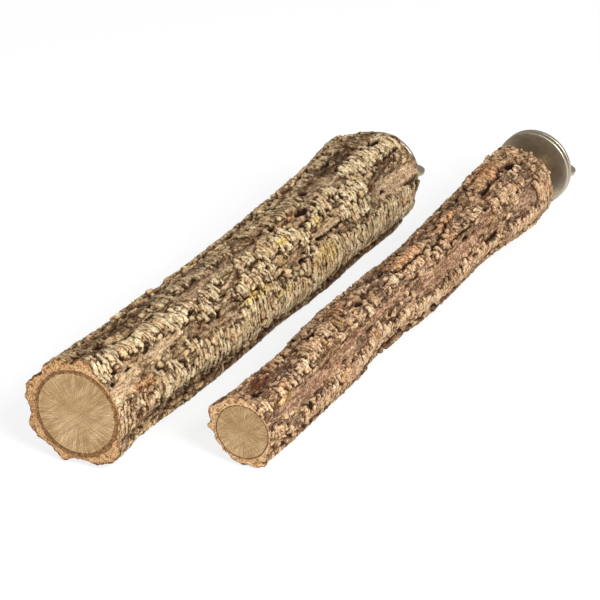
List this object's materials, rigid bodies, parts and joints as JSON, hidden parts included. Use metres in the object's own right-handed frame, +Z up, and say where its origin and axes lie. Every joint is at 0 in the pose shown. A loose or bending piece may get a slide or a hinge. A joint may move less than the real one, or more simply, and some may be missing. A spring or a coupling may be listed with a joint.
{
  "type": "bird perch",
  "caption": "Natural cork bark branch perches in a thick and a thin size, each with a bolt, large washers and a wing nut at one end that clamp it to the wires of a cage.",
  "frame": {"origin": "on the floor under the middle of the pair's bounding box", "axes": "+Y along both perches from the sawn faces to the hardware, +Z up, the thick perch towards -X and the thin one towards +X"},
  "size_m": [0.1092, 0.3639, 0.0496],
  "materials": {
    "branch_wood": "sawn, dry and unfinished",
    "inner_bark": "dark and fibrous",
    "cork_bark": "rough, cracked natural cork",
    "plated_steel": "satin nickel or zinc plate"
  },
  "bodies": {
    "large_perch": {"large_wood_core": "branch_wood", "large_inner_bark": "inner_bark", "large_cork_bark": "cork_bark", "large_hanger_bolt": "plated_steel"},
    "large_inner_washer_body": {"large_inner_washer": "plated_steel"},
    "large_outer_washer_body": {"large_outer_washer": "plated_steel"},
    "large_wing_nut_body": {"large_wing_nut": "plated_steel"},
    "small_perch": {"small_wood_core": "branch_wood", "small_inner_bark": "inner_bark", "small_cork_bark": "cork_bark", "small_hanger_bolt": "plated_steel"},
    "small_inner_washer_body": {"small_inner_washer": "plated_steel"},
    "small_outer_washer_body": {"small_outer_washer": "plated_steel"},
    "small_wing_nut_body": {"small_wing_nut": "plated_steel"}
  },
  "joints": [
    {"name": "large_inner_washer_slide", "type": "slide", "parent": "large_perch", "child": "large_inner_washer_body", "axis": [0, 1, 0], "range_m": [-0.0082, 0]},
    {"name": "large_outer_washer_slide", "type": "slide", "parent": "large_perch", "child": "large_outer_washer_body", "axis": [0, 1, 0], "range_m": [-0.0012, 0.01]},
    {"name": "large_wing_nut_turn", "type": "hinge", "parent": "large_outer_washer_body", "child": "large_wing_nut_body", "pos_m": [-0.02933, 0.12198, 0.02395], "axis": [0, 1, 0], "range_deg": [-270, 2370]},
    {"name": "small_perch_place", "type": "slide", "parent": "large_perch", "child": "small_perch", "axis": [1, 0, 0], "range_m": [0, 0.08]},
    {"name": "small_inner_washer_slide", "type": "slide", "parent": "small_perch", "child": "small_inner_washer_body", "axis": [0, 1, 0], "range_m": [-0.0127, 0]},
    {"name": "small_outer_washer_slide", "type": "slide", "parent": "small_perch", "child": "small_outer_washer_body", "axis": [0, 1, 0], "range_m": [-0.0012, 0.0051]},
    {"name": "small_wing_nut_turn", "type": "hinge", "parent": "small_outer_washer_body", "child": "small_wing_nut_body", "pos_m": [0.03297, 0.16748, 0.01993], "axis": [0, 1, 0], "range_deg": [-270, 1200]}
  ],
  "couplings": [
    {"joint": "large_outer_washer_slide", "follows": "large_wing_nut_turn", "m_per_rad": 0.00022459},
    {"joint": "small_outer_washer_slide", "follows": "small_wing_nut_turn", "m_per_rad": 0.00022459}
  ]
}
